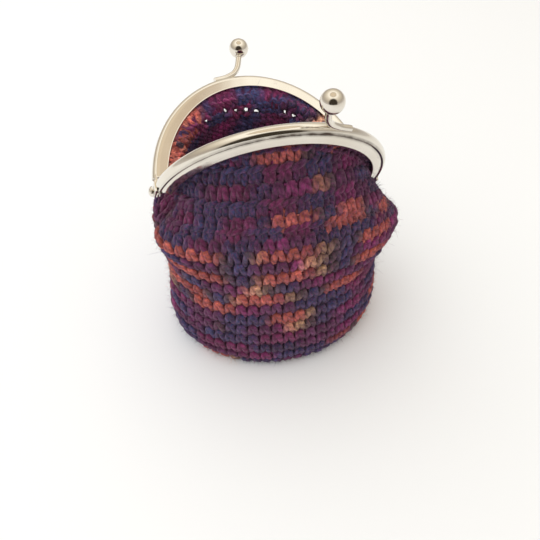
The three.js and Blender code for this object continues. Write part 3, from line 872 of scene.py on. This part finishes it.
def knob():
    """The bent rod, and the ball with a short collar where the rod enters it."""
    points = [(along, across, RISE * np.sqrt(1 - (along / HALF_WIDTH) ** 2) + above)
              for along, above, across in KNOB_ROD]
    bpy.ops.curve.primitive_bezier_curve_add(radius=1)
    rod = bpy.context.active_object
    spline = rod.data.splines[0]
    spline.bezier_points.add(len(points) - 2)
    for knot, point in zip(spline.bezier_points, points):
        knot.co = Vector(point) * MM
        knot.handle_left_type = knot.handle_right_type = "AUTO"
    rod.data.bevel_depth = ROD * MM
    rod.data.bevel_resolution = 5
    rod.data.resolution_u = 12
    rod.data.use_fill_caps = True
    active(rod)
    bpy.ops.object.convert(target="MESH")
    rod = bpy.context.active_object
    merged(rod)
    down = (Vector(points[-2]) - Vector(points[-1])).normalized()
    bpy.ops.mesh.primitive_uv_sphere_add(segments=48, ring_count=32, radius=BALL * MM)
    ball = bpy.context.active_object
    turn = Vector((0, 0, -1)).rotation_difference(down).to_matrix()
    for vertex in ball.data.vertices:
        vertex.co = turn @ vertex.co + Vector(points[-1]) * MM
    bpy.ops.object.mode_set(mode="EDIT")
    bpy.ops.mesh.select_all(action="DESELECT")
    bpy.ops.object.mode_set(mode="OBJECT")
    for face in ball.data.polygons:
        face.select = face.normal.dot(down) > COLLAR_FACES
    bpy.ops.object.mode_set(mode="EDIT")
    bpy.ops.mesh.inset(thickness=COLLAR_STEP * MM)
    bpy.ops.mesh.extrude_region_move(TRANSFORM_OT_translate={"value": down * COLLAR_LENGTH * MM})
    bpy.ops.object.mode_set(mode="OBJECT")
    return [rod, ball]


def frame_half(name, node, layer, place):
    """One half of the frame, joined from its pieces and leaned to its place on the hinge."""
    pieces = [bent_channel(), *knob()]
    for side in (-1, 1):
        pieces += [hinge_ear(side, layer), channel_end(side)]
    active(pieces[0])
    for piece in pieces:
        piece.select_set(True)
    bpy.ops.object.join()
    half = bpy.context.active_object
    half.name = half.data.name = name
    half.data.transform(place)
    half.matrix_world = Matrix.Identity(4)
    half.data.materials.clear()
    half.data.materials.append(nickel)
    active(half)
    bpy.ops.object.shade_smooth_by_angle(angle=SMOOTH_ANGLE)
    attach(half, "root")
    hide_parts(node)
    bpy.ops.object.select_all(action="DESELECT")


on_hinge = Matrix.Translation(HINGE * MM) @ Matrix.Rotation(ROLL, 4, "Y")
frame_half("front_frame_metal", "front_frame", 0, on_hinge @ Matrix.Rotation(FRONT_LEAN, 4, "X"))
frame_half("rear_frame_metal", "rear_frame", 1,
           on_hinge @ Matrix.Rotation(-REAR_LEAN, 4, "X") @ Matrix.Rotation(np.pi, 4, "Z"))


# The hinge rivets: turned pins with a domed head outside the ears and a flat tail inside, closed over
# both halves and plated with them. Their solids have the right shape and take the nickel.
for node in ("left_rivet", "right_rivet"):
    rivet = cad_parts[node]
    rivet.data.materials.clear()
    rivet.data.materials.append(nickel)


# The stage, in metres: a plain pale floor, a soft room that is brightest high up, two large lamps, and
# the camera where the photograph was taken from. The nickel mirrors a room of its own, with a bright
# band high up and a dark side in front of the purse.
FLOOR_SIZE, FLOOR_COLOUR, FLOOR_ROUGHNESS = 6, (0.9, 0.93, 0.975, 1), 0.6
# Colours of the room, and of the one that the nickel mirrors, from level to straight up.
ROOM = (
    (0.0, (0.8, 0.77, 0.74)), (0.22, (0.66, 0.63, 0.6)), (0.5, (0.6, 0.55, 0.48)),
    (0.78, (0.8, 0.71, 0.56)), (0.88, (1.05, 0.95, 0.77)), (0.93, (0.85, 0.74, 0.57)),
    (0.97, (0.5, 0.42, 0.31)),
)
MIRRORED_ROOM = (
    (0.0, (0.66, 0.63, 0.60)), (0.22, (0.5, 0.45, 0.39)), (0.5, (0.74, 0.67, 0.56)),
    (0.7, (0.98, 0.9, 0.77)), (0.82, (1.25, 1.2, 1.08)), (0.905, (1.25, 1.2, 1.08)),
    (0.925, (0.66, 0.54, 0.42)), (0.96, (0.88, 0.75, 0.58)),
)
DARK_SIDE, DARK_FROM, DARK_TO, DARK = (-0.28, -0.92, 0.25), 0.72, 0.86, (0.05, 0.04, 0.03, 1)
LAMP_COLOUR, LAMP_TARGET = (0.925, 0.975, 1.04), (0, 0, 0.05)
EYE = Vector((-53.37, -168.21, 189.21)) * MM
TARGET = Vector((-11.0, -30.7, 50.3)) * MM
SENSOR, LENS, NEAREST = 36.0, 39.35, 0.01

bpy.ops.mesh.primitive_plane_add(size=FLOOR_SIZE)
floor = bpy.context.active_object
floor.name = "floor"
pale, shader, _ = new_material("pale_floor")
shader.inputs["Base Color"].default_value = FLOOR_COLOUR
shader.inputs["Roughness"].default_value = FLOOR_ROUGHNESS
floor.data.materials.append(pale)

world = bpy.data.worlds.new("soft_room")
world.use_nodes = True
bpy.context.scene.world = world
sky = Shade(world.node_tree)
direction = sky.node("ShaderNodeTexCoord", out="Generated")
height = sky.node("ShaderNodeSeparateXYZ", values={"Vector": direction}, out="Z")
room = sky.node("ShaderNodeValToRGB", {"stops": ROOM}, {"Fac": height})
banded = sky.node("ShaderNodeValToRGB", {"stops": MIRRORED_ROOM}, {"Fac": height})
to_front = sky.node("ShaderNodeVectorMath", {"operation": "DOT_PRODUCT"}, {
    "Vector": direction, "Vector_001": tuple(unit(np.array(DARK_SIDE)))}, out="Value")
dim = sky.node("ShaderNodeMapRange", {"interpolation_type": "SMOOTHSTEP"}, {
    "Value": to_front, "From Min": DARK_FROM, "From Max": DARK_TO}, out="Result")
mirrored = sky.node("ShaderNodeMix", {"data_type": "RGBA"}, {
    "Factor_Float": dim, "A_Color": banded, "B_Color": DARK}, out="Result_Color")
on_metal = sky.node("ShaderNodeLightPath", out="Is Glossy Ray")
light = sky.node("ShaderNodeMix", {"data_type": "RGBA"}, {
    "Factor_Float": on_metal, "A_Color": room, "B_Color": mirrored}, out="Result_Color")
light.into(world.node_tree.nodes["Background"].inputs["Color"])
world.node_tree.nodes["Background"].inputs["Strength"].default_value = 1.0


def lamp(name, place, size, power):
    """A large round lamp that lights the purse and isn't mirrored in its metal."""
    bpy.ops.object.light_add(type="AREA", location=place)
    light = bpy.context.active_object
    light.name = name
    light.data.shape = "DISK"
    light.data.size, light.data.energy, light.data.color = size, power, LAMP_COLOUR
    light.rotation_euler = (Vector(LAMP_TARGET) - Vector(place)).to_track_quat("-Z", "Y").to_euler()
    light.visible_glossy = False


lamp("overhead", (-0.35, 0.4, 1.0), size=2.4, power=10.6)
lamp("front_fill", (-0.65, -0.68, 0.8), size=2.0, power=4.5)

bpy.ops.object.camera_add(location=EYE, rotation=(TARGET - EYE).to_track_quat("-Z", "Y").to_euler())
camera = bpy.context.active_object
camera.data.sensor_width = SENSOR
camera.data.lens = LENS
camera.data.clip_start = NEAREST
bpy.context.scene.camera = camera
bpy.context.scene.view_settings.view_transform = "Standard"
